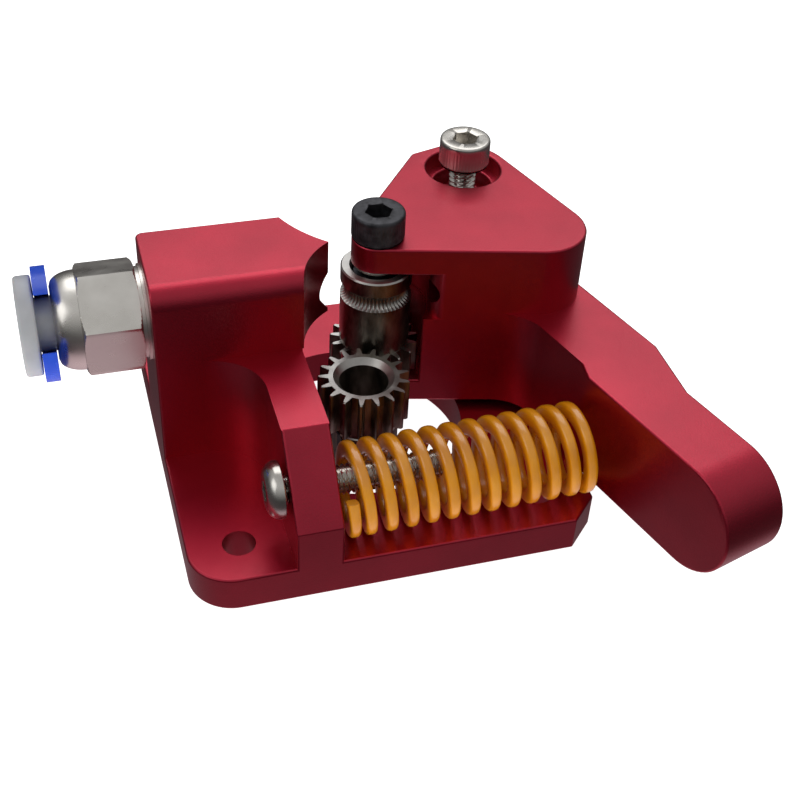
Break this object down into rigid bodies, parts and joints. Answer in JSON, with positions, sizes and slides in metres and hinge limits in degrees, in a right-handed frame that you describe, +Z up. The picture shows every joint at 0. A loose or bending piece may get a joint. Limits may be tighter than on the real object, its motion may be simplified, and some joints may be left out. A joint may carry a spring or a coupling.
{
  "type": "filament extruder",
  "caption": "Geared filament extruder: milled plate and block, sprung swinging lever with an idler gear, loose drive gear and a push-in tube fitting.",
  "frame": {"origin": "on the motor's axis, in the plane of the plate's underside that meets the motor", "axes": "+Z up, away from the motor along its shaft; +X from the tube fitting towards the lever, along the filament and the spring; +Y from the spring towards the lever's pivot"},
  "size_m": [0.0663, 0.0546, 0.028],
  "materials": {
    "red_anodised": "satin bead-blasted, red anodised",
    "nickel_plate": "bright nickel plate over brass",
    "grey_plastic": "moulded, slightly satin",
    "blue_plastic": "moulded gloss",
    "stainless": "bright machined",
    "black_oxide": "black oxide",
    "gear_steel": "machined, lightly oiled",
    "yellow_lacquer": "glossy spring lacquer",
    "black_rubber": "moulded"
  },
  "bodies": {
    "frame": {"frame_block": "red_anodised", "fitting_body": "nickel_plate", "grip_ring": "stainless", "seal_ring": "black_rubber", "spring_guide_screw": "stainless", "spring": "yellow_lacquer", "pivot_sleeve": "stainless", "pivot_washer": "stainless"},
    "lever": {"lever_arm": "red_anodised", "idler_axle_screw": "black_oxide", "idler_shim_upper": "stainless", "idler_shim_lower": "stainless"},
    "idler": {"idler_gear": "gear_steel"},
    "needles": {"needle_cage_upper": "black_oxide", "needle_cage_lower": "black_oxide", "needle_rollers_upper": "stainless", "needle_rollers_lower": "stainless"},
    "drive": {"drive_gear": "gear_steel", "drive_grub_screw": "black_oxide"},
    "pivot_screw": {"pivot_screw": "stainless"},
    "collet": {"release_collet": "grey_plastic"},
    "clip": {"lock_clip": "blue_plastic"}
  },
  "joints": [
    {"name": "lever_hinge", "type": "hinge", "parent": "frame", "child": "lever", "pos_m": [0.01605, 0.0155, 0], "axis": [0, 0, 1], "range_deg": [-21, 0], "stiffness_Nm_per_rad": 4, "deforming": ["spring"]},
    {"name": "drive_spin", "type": "hinge", "parent": "frame", "child": "drive", "pos_m": [-0.00004, -0.00374, 0], "axis": [0, 0, 1], "continuous": true},
    {"name": "idler_spin", "type": "hinge", "parent": "lever", "child": "idler", "pos_m": [0.00324, 0.00432, 0], "axis": [0, 0, 1], "continuous": true},
    {"name": "needle_orbit", "type": "hinge", "parent": "lever", "child": "needles", "pos_m": [0.00324, 0.00432, 0], "axis": [0, 0, 1], "continuous": true},
    {"name": "pivot_screw_seat", "type": "slide", "parent": "frame", "child": "pivot_screw", "axis": [0, 0, -1], "range_m": [0, 0.00415]},
    {"name": "collet_press", "type": "slide", "parent": "frame", "child": "collet", "axis": [1, 0, 0], "range_m": [0, 0.00008]},
    {"name": "clip_pull", "type": "slide", "parent": "frame", "child": "clip", "axis": [0, 0.809, -0.5878], "range_m": [0, 0.01]}
  ],
  "couplings": [
    {"joint": "idler_spin", "follows": "drive_spin", "ratio": -1},
    {"joint": "needle_orbit", "follows": "drive_spin", "ratio": -0.375}
  ]
}
